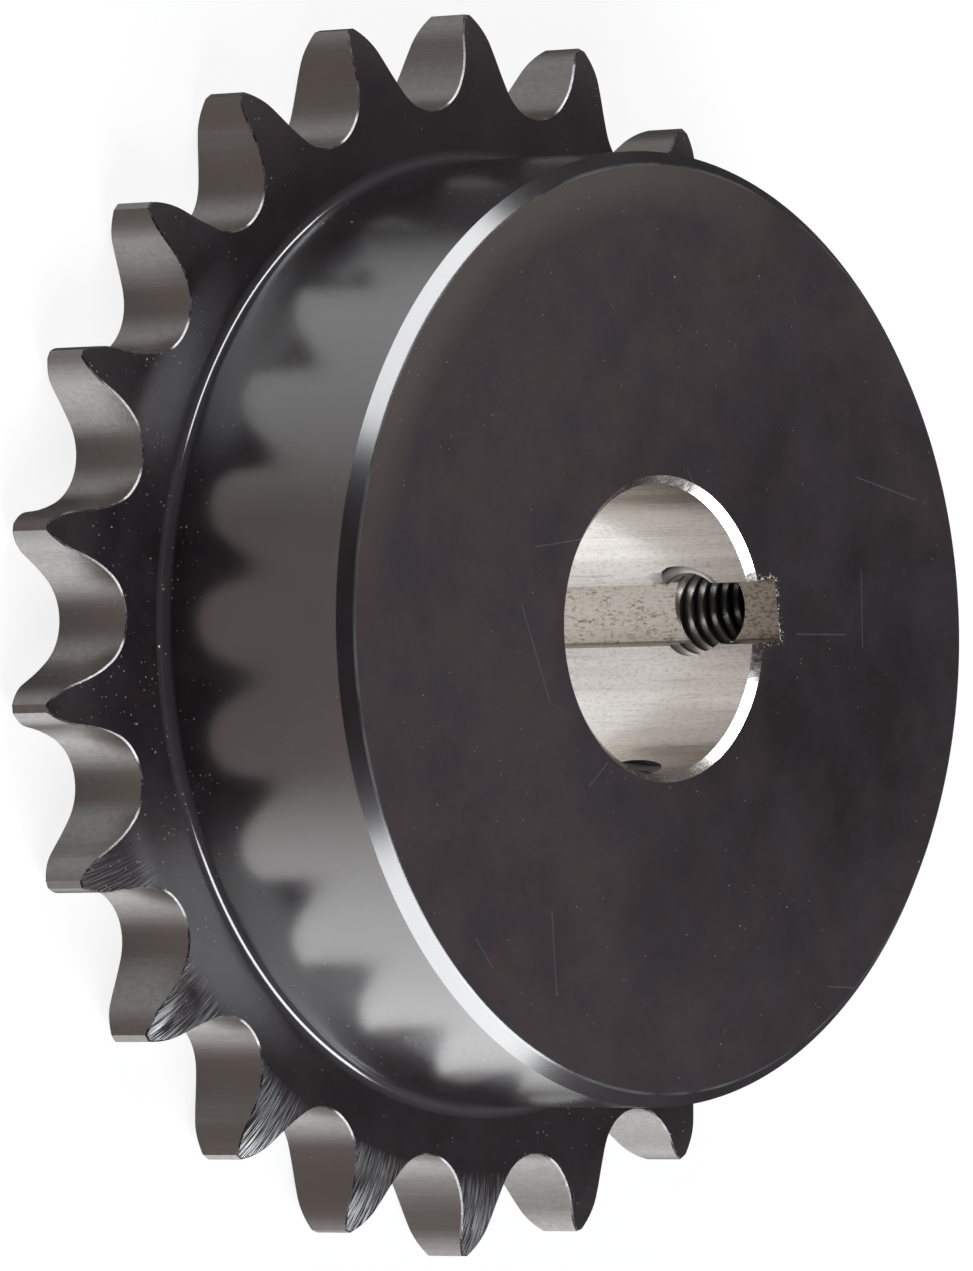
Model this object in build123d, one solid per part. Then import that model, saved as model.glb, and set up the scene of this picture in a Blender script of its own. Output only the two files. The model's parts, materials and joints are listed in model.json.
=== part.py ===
from build123d import *
import os
from math import asin, cos, degrees, pi, radians, sin, sqrt, tan

# Roller-chain sprocket with a hub on one side, turned, hobbed, broached and tapped from one
# piece of steel. Sizes are in millimetres.
# The bore axis is +Z. The origin is on that axis, at the middle of the teeth's width, where
# the chain runs. The hub is above, the flat back of the plate is below, and the keyway and
# the middle of one tooth lie on +X.

INCH = 25.4

# Chain
PITCH = 0.5 * INCH
ROLLER_DIAMETER = 0.312 * INCH
TEETH = 22

# Toothed plate
PLATE_THICKNESS = 7.0
TIP_HEIGHT = 0.3 * PITCH           # of the tips above the pitch polygon
TIP_LAND_WIDTH = 0.64              # of the flat left along each tip
SIDE_ROUNDING_RADIUS = 13.5        # arc that thins the sides of the teeth towards their tips
SIDE_ROUNDING_WIDTH = 1.7          # taken off each side at the tip

# Hub
HUB_DIAMETER = 2.875 * INCH
LENGTH_THROUGH_BORE = 1.0 * INCH
HUB_EDGE_CHAMFER = 1.0
HUB_ROOT_RADIUS = 0.8
PLATE_BACK_CHAMFER = 0.4           # breaks the back mouth of the bore

# Bore and keyway
BORE_DIAMETER = 0.875 * INCH
BORE_CHAMFER = 0.6
KEYWAY_WIDTH = 0.1875 * INCH
KEYWAY_SPAN = 24.6                 # from the bore wall opposite to the keyway's floor

# Holes for two set screws: one over the keyway, one a quarter turn clockwise from it
SCREW_DIAMETER = 0.3125 * INCH
SCREW_HOLE_FROM_FACE = 6.8         # from the hub face down to the holes' axes
SCREW_HOLE_COUNTERSINK = 0.5
SCREW_HOLE_ANGLES = (0, -90)

# Worked out from the sizes above
TOOTH_ANGLE = 360 / TEETH
PITCH_RADIUS = PITCH / (2 * sin(pi / TEETH))
OUTSIDE_RADIUS = PITCH / (2 * tan(pi / TEETH)) + TIP_HEIGHT
HUB_RADIUS = HUB_DIAMETER / 2
BORE_RADIUS = BORE_DIAMETER / 2
SCREW_RADIUS = SCREW_DIAMETER / 2
BACK_Z = -PLATE_THICKNESS / 2
FRONT_Z = PLATE_THICKNESS / 2
HUB_FACE_Z = BACK_Z + LENGTH_THROUGH_BORE
KEYWAY_FLOOR_X = KEYWAY_SPAN - BORE_RADIUS
SCREW_HOLE_Z = HUB_FACE_Z - SCREW_HOLE_FROM_FACE
CUT_PAST = 1.0                     # how far each cutting tool runs past what it cuts

os.makedirs("parts", exist_ok=True)


def on_circle(centre, radius, angle):
    """Point on a circle, at an angle in degrees from +X."""
    return centre + Vector(radius * cos(radians(angle)), radius * sin(radians(angle)))


def arc(centre, radius, start, end):
    """Arc about a centre from one angle to another, in degrees."""
    points = [on_circle(centre, radius, a) for a in (start, (start + end) / 2, end)]
    return ThreePointArc(*points)


def tooth_space_side():
    """One side of a tooth space, from its bottom to past the tooth's tip.

    Standard form for roller chain. The sprocket's axis is the origin, the space is centred
    on +Y and the tooth stands at +X: a seating arc that holds the roller, a working arc, a
    short flat, a topping arc that rounds the tooth over to its land, and a way out.
    """
    seat_radius = 0.5025 * ROLLER_DIAMETER + 0.0015 * INCH
    working_radius = 1.3025 * ROLLER_DIAMETER + 0.0015 * INCH
    working_start = -(35 + 60 / TEETH)
    working_angle = 18 - 56 / TEETH
    flat_length = ROLLER_DIAMETER * (
        1.4 * sin(radians(17 - 64 / TEETH)) - 0.8 * sin(radians(working_angle))
    )
    land_angle = 90 - TOOTH_ANGLE / 2 + degrees(TIP_LAND_WIDTH / 2 / OUTSIDE_RADIUS)
    axis = Vector(0, 0)
    pitch_point = Vector(0, PITCH_RADIUS)
    working_centre = on_circle(pitch_point, 0.8 * ROLLER_DIAMETER, working_start + 180)
    seating = arc(pitch_point, seat_radius, -90, working_start)
    working = arc(working_centre, working_radius, working_start, working_start + working_angle)
    flat = Line(working @ 1, (working @ 1) + (working % 1) * flat_length)
    topping = TangentArc(flat @ 1, on_circle(axis, OUTSIDE_RADIUS, land_angle), tangent=flat % 1)
    way_out = Line(topping @ 1, on_circle(axis, OUTSIDE_RADIUS + CUT_PAST, land_angle))
    return [seating, working, flat, topping, way_out]


def tooth_space():
    """Cutter for one tooth space, centred on +X and through the whole plate."""
    side = tooth_space_side()
    side_end = side[-1] @ 1
    mouth = Line(side_end, Vector(-side_end.X, side_end.Y))
    outline = Wire(side + [edge.mirror(Plane.YZ) for edge in side] + [mouth])
    depth = PLATE_THICKNESS + 2 * CUT_PAST
    prism = extrude(make_face(outline), depth, dir=(0, 0, 1))
    return Rot(0, 0, -90) * Pos(0, 0, BACK_Z - CUT_PAST) * prism


def turned_blank():
    """Blank as it leaves the lathe: plate with rounded rim, hub, fillet, bore and chamfers."""
    rounding_depth = sqrt(SIDE_ROUNDING_RADIUS**2 - (SIDE_ROUNDING_RADIUS - SIDE_ROUNDING_WIDTH) ** 2)
    rounding_start = OUTSIDE_RADIUS - rounding_depth
    tip_z = FRONT_Z - SIDE_ROUNDING_WIDTH
    front_centre = Vector(rounding_start, FRONT_Z - SIDE_ROUNDING_RADIUS)
    back_centre = Vector(rounding_start, BACK_Z + SIDE_ROUNDING_RADIUS)
    sweep = degrees(asin(rounding_depth / SIDE_ROUNDING_RADIUS))
    root_centre = Vector(HUB_RADIUS + HUB_ROOT_RADIUS, FRONT_Z + HUB_ROOT_RADIUS)
    back_edge = Vector(BORE_RADIUS + PLATE_BACK_CHAMFER, BACK_Z)
    hub_top = [
        Vector(HUB_RADIUS, HUB_FACE_Z - HUB_EDGE_CHAMFER),
        Vector(HUB_RADIUS - HUB_EDGE_CHAMFER, HUB_FACE_Z),
        Vector(BORE_RADIUS + BORE_CHAMFER, HUB_FACE_Z),
        Vector(BORE_RADIUS, HUB_FACE_Z - BORE_CHAMFER),
        Vector(BORE_RADIUS, BACK_Z + PLATE_BACK_CHAMFER),
        back_edge,
    ]
    edges = [
        Line(back_edge, Vector(rounding_start, BACK_Z)),
        arc(back_centre, SIDE_ROUNDING_RADIUS, -90, -90 + sweep),
        Line(Vector(OUTSIDE_RADIUS, -tip_z), Vector(OUTSIDE_RADIUS, tip_z)),
        arc(front_centre, SIDE_ROUNDING_RADIUS, 90 - sweep, 90),
        Line(Vector(rounding_start, FRONT_Z), Vector(root_centre.X, FRONT_Z)),
        arc(root_centre, HUB_ROOT_RADIUS, 270, 180),
        Line(Vector(HUB_RADIUS, root_centre.Y), hub_top[0]),
        *Polyline(*hub_top).edges(),
    ]
    section = Plane.XZ * make_face(Wire(edges))
    return revolve(section, Axis.Z)


def keyway():
    """Cutter for the keyway, through the whole bore."""
    length = LENGTH_THROUGH_BORE + 2 * CUT_PAST
    start = Pos(0, 0, BACK_Z - CUT_PAST)
    return start * Box(KEYWAY_FLOOR_X, KEYWAY_WIDTH, length, align=(Align.MIN, Align.CENTER, Align.MIN))


def screw_hole(angle):
    """Cutter for one set screw's hole, from the bore's axis out past the hub."""
    hole = Cylinder(SCREW_RADIUS, HUB_RADIUS + CUT_PAST, align=(Align.CENTER, Align.CENTER, Align.MIN))
    sink_depth = SCREW_HOLE_COUNTERSINK + CUT_PAST
    sink = Pos(0, 0, HUB_RADIUS - SCREW_HOLE_COUNTERSINK) * Cone(
        SCREW_RADIUS, SCREW_RADIUS + sink_depth, sink_depth, align=(Align.CENTER, Align.CENTER, Align.MIN)
    )
    return Pos(0, 0, SCREW_HOLE_Z) * Rot(0, 0, angle) * Rot(0, 90, 0) * (hole + sink)


def sprocket():
    """The finished sprocket: the blank with its teeth, keyway and screw holes cut."""
    space = tooth_space()
    spaces = [Rot(0, 0, (i + 0.5) * TOOTH_ANGLE) * space for i in range(TEETH)]
    toothed = turned_blank() - spaces
    return toothed - [keyway(), *(screw_hole(angle) for angle in SCREW_HOLE_ANGLES)]


export_step(sprocket(), "parts/sprocket.step")
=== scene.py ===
"""Looks of a roller-chain sprocket with a hub, in black-oxide steel with a bare bore."""

import json
import logging
from dataclasses import dataclass, field
from enum import Enum
from functools import cached_property
from math import atan2, cos, pi, radians, sin, sqrt, tan
from typing import Any, Sequence

import bpy
from mathutils import Matrix, Vector


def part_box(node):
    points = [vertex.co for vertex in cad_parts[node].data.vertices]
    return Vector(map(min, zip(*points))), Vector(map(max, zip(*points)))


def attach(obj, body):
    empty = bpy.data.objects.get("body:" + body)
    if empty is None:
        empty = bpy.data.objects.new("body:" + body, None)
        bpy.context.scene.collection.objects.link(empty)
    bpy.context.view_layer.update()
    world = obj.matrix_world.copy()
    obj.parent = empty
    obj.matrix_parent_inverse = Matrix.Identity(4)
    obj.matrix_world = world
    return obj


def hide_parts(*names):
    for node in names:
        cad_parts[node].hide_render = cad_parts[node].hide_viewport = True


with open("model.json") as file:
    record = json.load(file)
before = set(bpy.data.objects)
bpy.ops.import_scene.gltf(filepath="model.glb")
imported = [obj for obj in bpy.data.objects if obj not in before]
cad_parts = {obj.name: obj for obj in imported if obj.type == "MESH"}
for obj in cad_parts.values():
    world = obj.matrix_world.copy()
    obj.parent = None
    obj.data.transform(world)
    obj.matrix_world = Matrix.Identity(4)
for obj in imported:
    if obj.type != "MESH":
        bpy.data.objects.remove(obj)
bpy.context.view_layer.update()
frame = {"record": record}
LOG = logging.getLogger("sprocket")
MM = 0.001
INCH = 25.4 * MM
Colour = tuple[float, float, float, float]
Triple = tuple[float, float, float]
Pair = tuple[float, float]
WHITE: Colour = (1.0, 1.0, 1.0, 1.0)


class Side(Enum):
    """The toothed plate's two faces, by the sign of their height."""

    FRONT = 1
    BACK = -1


class Dimensions(Enum):
    """The number of directions in which a texture varies."""

    ONE = "1D"
    TWO = "2D"
    THREE = "3D"


class Socket:
    """One output socket of a node, with operators that add Math nodes."""

    def __init__(self, tree: "Tree", socket: bpy.types.NodeSocket) -> None:
        """Wraps a socket of a tree."""
        self.tree = tree
        self.socket = socket

    def _math(self, operation: str, *values: Any) -> "Socket":
        """Adds a Math node with this operation on these values."""
        return self.tree.node("ShaderNodeMath", {"operation": operation}, dict(enumerate(values)))

    def __add__(self, other: Any) -> "Socket":
        """This value plus another."""
        return self._math("ADD", self, other)

    def __radd__(self, other: Any) -> "Socket":
        """Another value plus this one."""
        return self._math("ADD", other, self)

    def __sub__(self, other: Any) -> "Socket":
        """This value less another."""
        return self._math("SUBTRACT", self, other)

    def __rsub__(self, other: Any) -> "Socket":
        """Another value less this one."""
        return self._math("SUBTRACT", other, self)

    def __mul__(self, other: Any) -> "Socket":
        """This value times another."""
        return self._math("MULTIPLY", self, other)

    def __rmul__(self, other: Any) -> "Socket":
        """Another value times this one."""
        return self._math("MULTIPLY", other, self)

    def __truediv__(self, other: Any) -> "Socket":
        """This value divided by another."""
        return self._math("DIVIDE", self, other)

    def __lt__(self, other: Any) -> "Socket":
        """1 where this value is less than another, else 0."""
        return self._math("LESS_THAN", self, other)

    def __gt__(self, other: Any) -> "Socket":
        """1 where this value is more than another, else 0."""
        return self._math("GREATER_THAN", self, other)

    def call(self, operation: str, *values: Any) -> "Socket":
        """Any other Math operation on this value and further ones."""
        return self._math(operation, self, *values)

    def clamped(self) -> "Socket":
        """Makes the node of this socket hold its result between 0 and 1."""
        self.socket.node.use_clamp = True
        return self

    def ramp(self, low: float, high: float) -> "Socket":
        """0 below low, 1 above high, and even between them. Low may be the larger."""
        return ((self - low) / (high - low)).clamped()


class Tree:
    """A node tree that is written as Python expressions."""

    def __init__(self, nodes: bpy.types.NodeTree) -> None:
        """Wraps a node tree."""
        self.nodes = nodes.nodes
        self.links = nodes.links

    def node(self, kind: str, settings: dict[str, Any] | None = None,
             inputs: dict[Any, Any] | None = None, output: Any = 0) -> Socket:
        """Adds a node.

        Args:
            kind: The node's type, such as ShaderNodeMath.
            settings: Properties of the node, set before its sockets.
            inputs: Values or links of its sockets, by name or number.
            output: The output that is returned, by name or number.

        Returns:
            The output socket, or the first input of a node without outputs.
        """
        made = self.nodes.new(kind)
        for name, value in (settings or {}).items():
            setattr(made, name, value)
        for name, value in (inputs or {}).items():
            self._feed(made.inputs[name], value)
        return Socket(self, made.outputs[output]) if made.outputs else Socket(self, made.inputs[0])

    def _feed(self, target: bpy.types.NodeSocket, value: Any) -> None:
        """Links or sets one input socket.

        Args:
            target: The input socket.
            value: A plain value, a socket, or a list of sockets to link in turn.
        """
        if isinstance(value, list):
            for item in value:
                self._feed(target, item)
        elif isinstance(value, Socket):
            self.links.new(value.socket, target)
        else:
            target.default_value = value

    def vector(self, operation: str, *values: Any, output: Any = 0) -> Socket:
        """Adds a Vector Math node."""
        return self.node("ShaderNodeVectorMath", {"operation": operation}, dict(enumerate(values)), output)

    def combine(self, x: Any, y: Any, z: Any) -> Socket:
        """A vector from three values."""
        return self.node("ShaderNodeCombineXYZ", None, {0: x, 1: y, 2: z})

    def split(self, vector: Socket) -> tuple[Socket, Socket, Socket]:
        """Splits a vector.

        Args:
            vector: The vector.

        Returns:
            Its x, y and z.
        """
        x = self.node("ShaderNodeSeparateXYZ", None, {0: vector})
        outputs = x.socket.node.outputs
        return x, Socket(self, outputs[1]), Socket(self, outputs[2])

    def blend(self, factor: Any, low: Any, high: Any) -> Socket:
        """Colour that goes from low to high with the factor."""
        settings = {"data_type": "RGBA", "clamp_factor": True}
        return self.node("ShaderNodeMix", settings, {0: factor, 6: low, 7: high}, 2)

    def between(self, factor: Any, low: Any, high: Any) -> Socket:
        """Number that goes from low to high with the factor."""
        return self.node("ShaderNodeMix", {"clamp_factor": True}, {0: factor, 2: low, 3: high}, 0)


@dataclass(frozen=True)
class Fade:
    """How a mask grows from one value of a coordinate to another, up to its strength."""

    start: float
    full: float
    strength: float = 1.0

    def over(self, value: Socket) -> Socket:
        """The mask where the coordinate has this value."""
        grown = value.ramp(self.start, self.full)
        return grown if self.strength == 1.0 else grown * self.strength


@dataclass(frozen=True)
class Noise:
    """A noise texture, and how a mask grows over its values."""

    scale: float
    detail: float
    roughness: float
    fade: Fade = Fade(0.0, 1.0)
    dimensions: Dimensions = Dimensions.THREE

    def raw(self, tree: Tree, where: Socket) -> Socket:
        """Adds the texture.

        Args:
            tree: The material's tree.
            where: The place, which is a single value for one dimension.

        Returns:
            The texture's own value, between 0 and 1.
        """
        place = "W" if self.dimensions is Dimensions.ONE else "Vector"
        sockets = {place: where, "Scale": self.scale, "Detail": self.detail, "Roughness": self.roughness}
        return tree.node("ShaderNodeTexNoise", {"noise_dimensions": self.dimensions.value}, sockets)

    def mask(self, tree: Tree, where: Socket) -> Socket:
        """The texture's mask at a place."""
        return self.fade.over(self.raw(tree, where))


@dataclass(frozen=True)
class SprocketSizes:
    """Driving sizes of the sprocket, in metres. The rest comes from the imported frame."""

    pitch: float = 0.5 * INCH
    roller_diameter: float = 0.312 * INCH
    teeth: int = 22
    tip_land_width: float = 0.64 * MM
    side_rounding_radius: float = 13.5 * MM
    side_rounding_width: float = 1.7 * MM
    hub_radius: float = 1.4375 * INCH
    hub_edge_chamfer: float = 1.0 * MM
    hub_root_radius: float = 0.8 * MM
    bore_chamfer: float = 0.6 * MM
    back_chamfer: float = 0.4 * MM
    keyway_width: float = 0.1875 * INCH
    thread_pitch: float = INCH / 18
    thread_phase: float = 0.6
    screw_countersink: float = 0.5 * MM
    edge_break: float = 0.12 * MM

    def mm(self, name: str) -> float:
        """The size of this name, in millimetres."""
        return getattr(self, name) / MM

    def mount(self, name: str) -> dict[str, Any]:
        """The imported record's mount of this name."""
        return next(m for m in frame["record"]["mounts"] if m["name"] == name)

    @cached_property
    def back_z(self) -> float:
        """Height of the plate's flat back."""
        return self.mount("back_face")["pos_m"][2]

    @cached_property
    def front_z(self) -> float:
        """Height of the plate's front, as far above the teeth's middle as the back is below."""
        return -self.back_z

    @cached_property
    def face_z(self) -> float:
        """Height of the hub's face."""
        return self.mount("hub_face")["pos_m"][2]

    @cached_property
    def bore_radius(self) -> float:
        """Radius of the bore."""
        return self.mount("bore")["dims"]["r_mm"] * MM

    @cached_property
    def keyway_floor(self) -> float:
        """Distance from the bore's axis to the keyway's floor."""
        return self.mount("keyway")["pos_m"][0]

    @cached_property
    def screw_radius(self) -> float:
        """Full radius of the set screws' thread."""
        return self.mount("screw_hole_key")["dims"]["r_mm"] * MM

    @cached_property
    def outside_radius(self) -> float:
        """Radius over the teeth's tips."""
        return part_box("sprocket")[1].x

    @cached_property
    def pitch_radius(self) -> float:
        """Radius of the circle on which the chain's rollers sit."""
        return self.pitch / (2 * sin(pi / self.teeth))

    @cached_property
    def rounding_depth(self) -> float:
        """How far the rounding of the teeth's sides reaches in from their tips."""
        rest = self.side_rounding_radius - self.side_rounding_width
        return sqrt(self.side_rounding_radius**2 - rest**2)

    def side_drop(self, radius: float) -> float:
        """Works out how the rounding thins the plate.

        Args:
            radius: Distance from the axis.

        Returns:
            How far each face has dropped towards the plate's middle there.
        """
        past = radius - (self.outside_radius - self.rounding_depth)
        if past <= 0:
            return 0.0
        return self.side_rounding_radius - sqrt(self.side_rounding_radius**2 - past**2)


@dataclass(frozen=True)
class ToothSpace:
    """Standard roller-chain tooth space, as points from one tooth's middle to the next.

    The angles and shares are those of the standard tooth form. Where an angle has two parts, the
    second is divided by the number of teeth.
    """

    sizes: SprocketSizes
    allowance: float = 0.0015 * INCH
    seat_share: float = 0.5025
    working_share: float = 1.3025
    centre_share: float = 0.8
    flat_share: float = 1.4
    seat_angle: Pair = (35, 60)
    working_angle: Pair = (18, -56)
    flat_angle: Pair = (17, -64)
    seat_steps: int = 8
    working_steps: int = 3
    topping_steps: int = 8

    def _angle(self, parts: Pair) -> float:
        """One of the form's angles for this number of teeth, in radians."""
        return radians(parts[0] + parts[1] / self.sizes.teeth)

    @staticmethod
    def _arc(centre: Vector, radius: float, start: float, end: float, steps: int) -> list[Vector]:
        """Points along an arc, with both ends, for angles in radians."""
        angles = [start + (end - start) * i / steps for i in range(steps + 1)]
        return [centre + Vector((radius * cos(a), radius * sin(a))) for a in angles]

    def _topping(self, start: Vector, along: Vector, end: Vector) -> list[Vector]:
        """Works out the arc that rounds the tooth over to its land.

        Args:
            start: The point that it leaves.
            along: Its direction there, as a unit vector.
            end: The point that it reaches.

        Returns:
            Points along it, with both ends.
        """
        normal = Vector((-along.y, along.x))
        chord = end - start
        radius = chord.length_squared / (2 * normal.dot(chord))
        centre = start + normal * radius
        first = start - centre
        last = end - centre
        begin = atan2(first.y, first.x)
        turn = atan2(first.x * last.y - first.y * last.x, first.dot(last))
        return self._arc(centre, abs(radius), begin, begin + turn, self.topping_steps)

    def half(self) -> list[Vector]:
        """Works out one side of the space.

        Returns:
            Points from the bottom of the space, on +Y, to the middle of the tooth on its +X side.
        """
        s = self.sizes
        roller = s.roller_diameter
        start = -self._angle(self.seat_angle)
        end = start + self._angle(self.working_angle)
        flat = roller * (self.flat_share * sin(self._angle(self.flat_angle))
                         - self.centre_share * sin(self._angle(self.working_angle)))
        pitch_point = Vector((0, s.pitch_radius))
        centre = pitch_point - Vector((cos(start), sin(start))) * self.centre_share * roller
        seat_radius = self.seat_share * roller + self.allowance
        working_radius = self.working_share * roller + self.allowance
        seat = self._arc(pitch_point, seat_radius, -pi / 2, start, self.seat_steps)
        working = self._arc(centre, working_radius, start, end, self.working_steps)
        along = Vector((-sin(end), cos(end)))
        flat_end = working[-1] + along * flat
        middle = pi / 2 - pi / s.teeth
        land = middle + s.tip_land_width / 2 / s.outside_radius
        corner = Vector((cos(land), sin(land))) * s.outside_radius
        topping = self._topping(flat_end, along, corner)
        tip = Vector((cos(middle), sin(middle))) * s.outside_radius
        return seat + working[1:] + topping + [tip]

    def outline(self) -> list[Vector]:
        """Points of the whole space, turned to be centred on +X, in order of rising angle."""
        half = [Vector((p.y, p.x)) for p in self.half()]
        return [Vector((p.x, -p.y)) for p in reversed(half)] + half[1:]

    @staticmethod
    def normals(points: Sequence[Vector]) -> list[Vector]:
        """Works out which way the outline faces.

        Args:
            points: The outline's points.

        Returns:
            For each point, the unit normal that points away from the steel.
        """
        found = []
        for i, point in enumerate(points):
            if i in (0, len(points) - 1):
                found.append(point.normalized())
                continue
            before = (point - points[i - 1]).normalized()
            after = (points[i + 1] - point).normalized()
            along = (before + after).normalized()
            found.append(Vector((along.y, -along.x)))
        return found


@dataclass(frozen=True)
class Sector:
    """One tooth pitch of the whole sprocket as a mesh, from the middle of a tooth to the next."""

    sizes: SprocketSizes
    plate_rows: int = 12
    fillet_rows: int = 6
    wall_rows: int = 2
    hub_rows: int = 6
    face_rows: int = 6
    bore_rows: int = 10
    back_rows: int = 6
    kept_share: float = 0.08

    def mesh(self) -> bpy.types.Mesh:
        """Builds the sector's outer skin.

        Returns:
            A mesh that is open at its two radial sides.
        """
        columns = self._columns()
        rows = len(columns[0])
        points = [p for column in columns for p in column]
        faces = []
        for c in range(len(columns) - 1):
            for r in range(rows):
                after = (r + 1) % rows
                faces.append((c * rows + r, c * rows + after, (c + 1) * rows + after, (c + 1) * rows + r))
        mesh = bpy.data.meshes.new("sprocket_sector")
        mesh.from_pydata(points, [], faces)
        mesh.update()
        return mesh

    def _columns(self) -> list[list[Vector]]:
        """Works out the sector's section loops.

        Returns:
            One loop of points at each point of the tooth space's outline.
        """
        outline = ToothSpace(self.sizes).outline()
        half_angle = pi / self.sizes.teeth
        normals = ToothSpace.normals(outline)
        last = len(outline) - 1
        columns = []
        for i, (point, normal) in enumerate(zip(outline, normals)):
            even = -half_angle + 2 * half_angle * i / last
            columns.append(self._section(point, normal, even))
        return columns

    def _section(self, point: Vector, normal: Vector, even: float) -> list[Vector]:
        """Loop of points around the section that ends at one point of the outline.

        Args:
            point: The outline's point.
            normal: The outline's normal there.
            even: The angle that the loop has on the hub, in radians.

        Returns:
            Points in order: plate front, rim, plate back, bore, hub face, hub side, fillet.
        """
        s = self.sizes
        root = s.hub_radius + s.hub_root_radius
        inner = point - normal * s.edge_break
        rim = self._rim(point, inner)
        start = Vector((root * cos(even), root * sin(even)))
        rows = self.plate_rows
        front = [self._on_plate(start.lerp(inner, i / rows), Side.FRONT) for i in range(rows)]
        bore = s.bore_radius + s.back_chamfer
        bore_edge = Vector((bore * cos(even), bore * sin(even)))
        rows = self.back_rows
        back = [self._on_plate(inner.lerp(start, i / rows), Side.BACK) for i in range(1, rows)]
        back += [self._on_plate(start.lerp(bore_edge, i / 2), Side.BACK) for i in range(2)]
        turned = [Vector((r * cos(even), r * sin(even), z)) for r, z in self._turned()]
        return front + rim + back + turned

    def _on_plate(self, place: Vector, side: Side) -> Vector:
        """Point on one of the plate's faces, over a place in plan."""
        height = self.sizes.front_z - self.sizes.side_drop(place.length)
        return Vector((place.x, place.y, side.value * height))

    def _rim(self, point: Vector, inner: Vector) -> list[Vector]:
        """Works out how the section turns over the teeth's edges.

        Args:
            point: The outline's point.
            inner: The same point, moved into the steel by the width of the broken edge.

        Returns:
            Points from the plate's front over the broken edges and the tooth's wall to its back.
        """
        s = self.sizes
        top = s.front_z - s.side_drop(point.length) - s.edge_break
        heights = [top - 2 * top * i / self.wall_rows for i in range(self.wall_rows + 1)]
        wall = [Vector((point.x, point.y, z)) for z in heights]
        return [self._on_plate(inner, Side.FRONT), *wall, self._on_plate(inner, Side.BACK)]

    def _turned(self) -> list[Pair]:
        """Works out the rows that a lathe would turn.

        Returns:
            Radius and height of each row, over the bore, hub face, hub side and root fillet.
        """
        s = self.sizes
        rows: list[Pair] = [(s.bore_radius + s.back_chamfer, s.back_z)]
        low = s.back_z + s.back_chamfer
        high = s.face_z - s.bore_chamfer
        rows += [(s.bore_radius, low + (high - low) * i / self.bore_rows) for i in range(self.bore_rows + 1)]
        inner = s.bore_radius + s.bore_chamfer
        outer = s.hub_radius - s.hub_edge_chamfer
        rows += [(inner + (outer - inner) * i / self.face_rows, s.face_z) for i in range(self.face_rows)]
        top = s.face_z - s.hub_edge_chamfer
        broken = Vector((outer + s.edge_break / 4, s.face_z - s.edge_break / 2))
        kept = broken.lerp(Vector((s.hub_radius, top)), self.kept_share)
        rows += [(outer - s.edge_break / 2, s.face_z), tuple(broken), tuple(kept)]
        bottom = s.front_z + s.hub_root_radius
        rows += [(s.hub_radius, top + (bottom - top) * i / self.hub_rows) for i in range(self.hub_rows + 1)]
        for i in range(1, self.fillet_rows):
            a = pi / 2 * i / self.fillet_rows
            out = s.hub_root_radius * (1 - cos(a))
            down = s.hub_root_radius * (1 - sin(a))
            rows.append((s.hub_radius + out, s.front_z + down))
        return rows


NewGroup = tuple[bpy.types.NodeTree, Tree, dict[str, Socket]]


class Nodes:
    """Helpers that build geometry node groups with named inputs."""

    @staticmethod
    def group(name: str, sizes: dict[str, tuple[str, Any]]) -> NewGroup:
        """Makes a geometry node group.

        Args:
            name: The group's name.
            sizes: Each input's socket type and default value, by name.

        Returns:
            The group, its tree and its input sockets by name.
        """
        group = bpy.data.node_groups.new(name, "GeometryNodeTree")
        group.interface.new_socket("Geometry", in_out="INPUT", socket_type="NodeSocketGeometry")
        for label, (kind, value) in sizes.items():
            made = group.interface.new_socket(label, in_out="INPUT", socket_type=kind)
            made.default_value = value
        group.interface.new_socket("Geometry", in_out="OUTPUT", socket_type="NodeSocketGeometry")
        tree = Tree(group)
        entry = group.nodes.new("NodeGroupInput")
        inputs = {o.name: Socket(tree, o) for o in entry.outputs if o.name}
        return group, tree, inputs

    @staticmethod
    def weld(tree: Tree, geometry: Socket, distance: Socket) -> Socket:
        """Joins points that lie closer than a distance."""
        return tree.node("GeometryNodeMergeByDistance", None, {"Geometry": geometry, "Distance": distance})

    @staticmethod
    def end(tree: Tree, geometry: Socket) -> None:
        """Links a geometry to the group's output."""
        tree.node("NodeGroupOutput", None, {0: geometry})

    @staticmethod
    def run(piece: bpy.types.Object, group: bpy.types.NodeTree, values: dict[str, Any]) -> bpy.types.Mesh:
        """Runs a node group on an object and returns the result as a plain mesh.

        Args:
            piece: The object that carries the modifier for the time of the run.
            group: The node group.
            values: Values of its named inputs.

        Returns:
            A new mesh. The modifier is gone from the object.
        """
        modifier = piece.modifiers.new(group.name, "NODES")
        modifier.node_group = group
        names = {i.name: i.identifier for i in group.interface.items_tree if i.in_out == "INPUT"}
        for name, value in values.items():
            modifier[names[name]] = value
        graph = bpy.context.evaluated_depsgraph_get()
        graph.update()
        mesh = bpy.data.meshes.new_from_object(piece.evaluated_get(graph), depsgraph=graph)
        piece.modifiers.remove(modifier)
        return mesh


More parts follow.
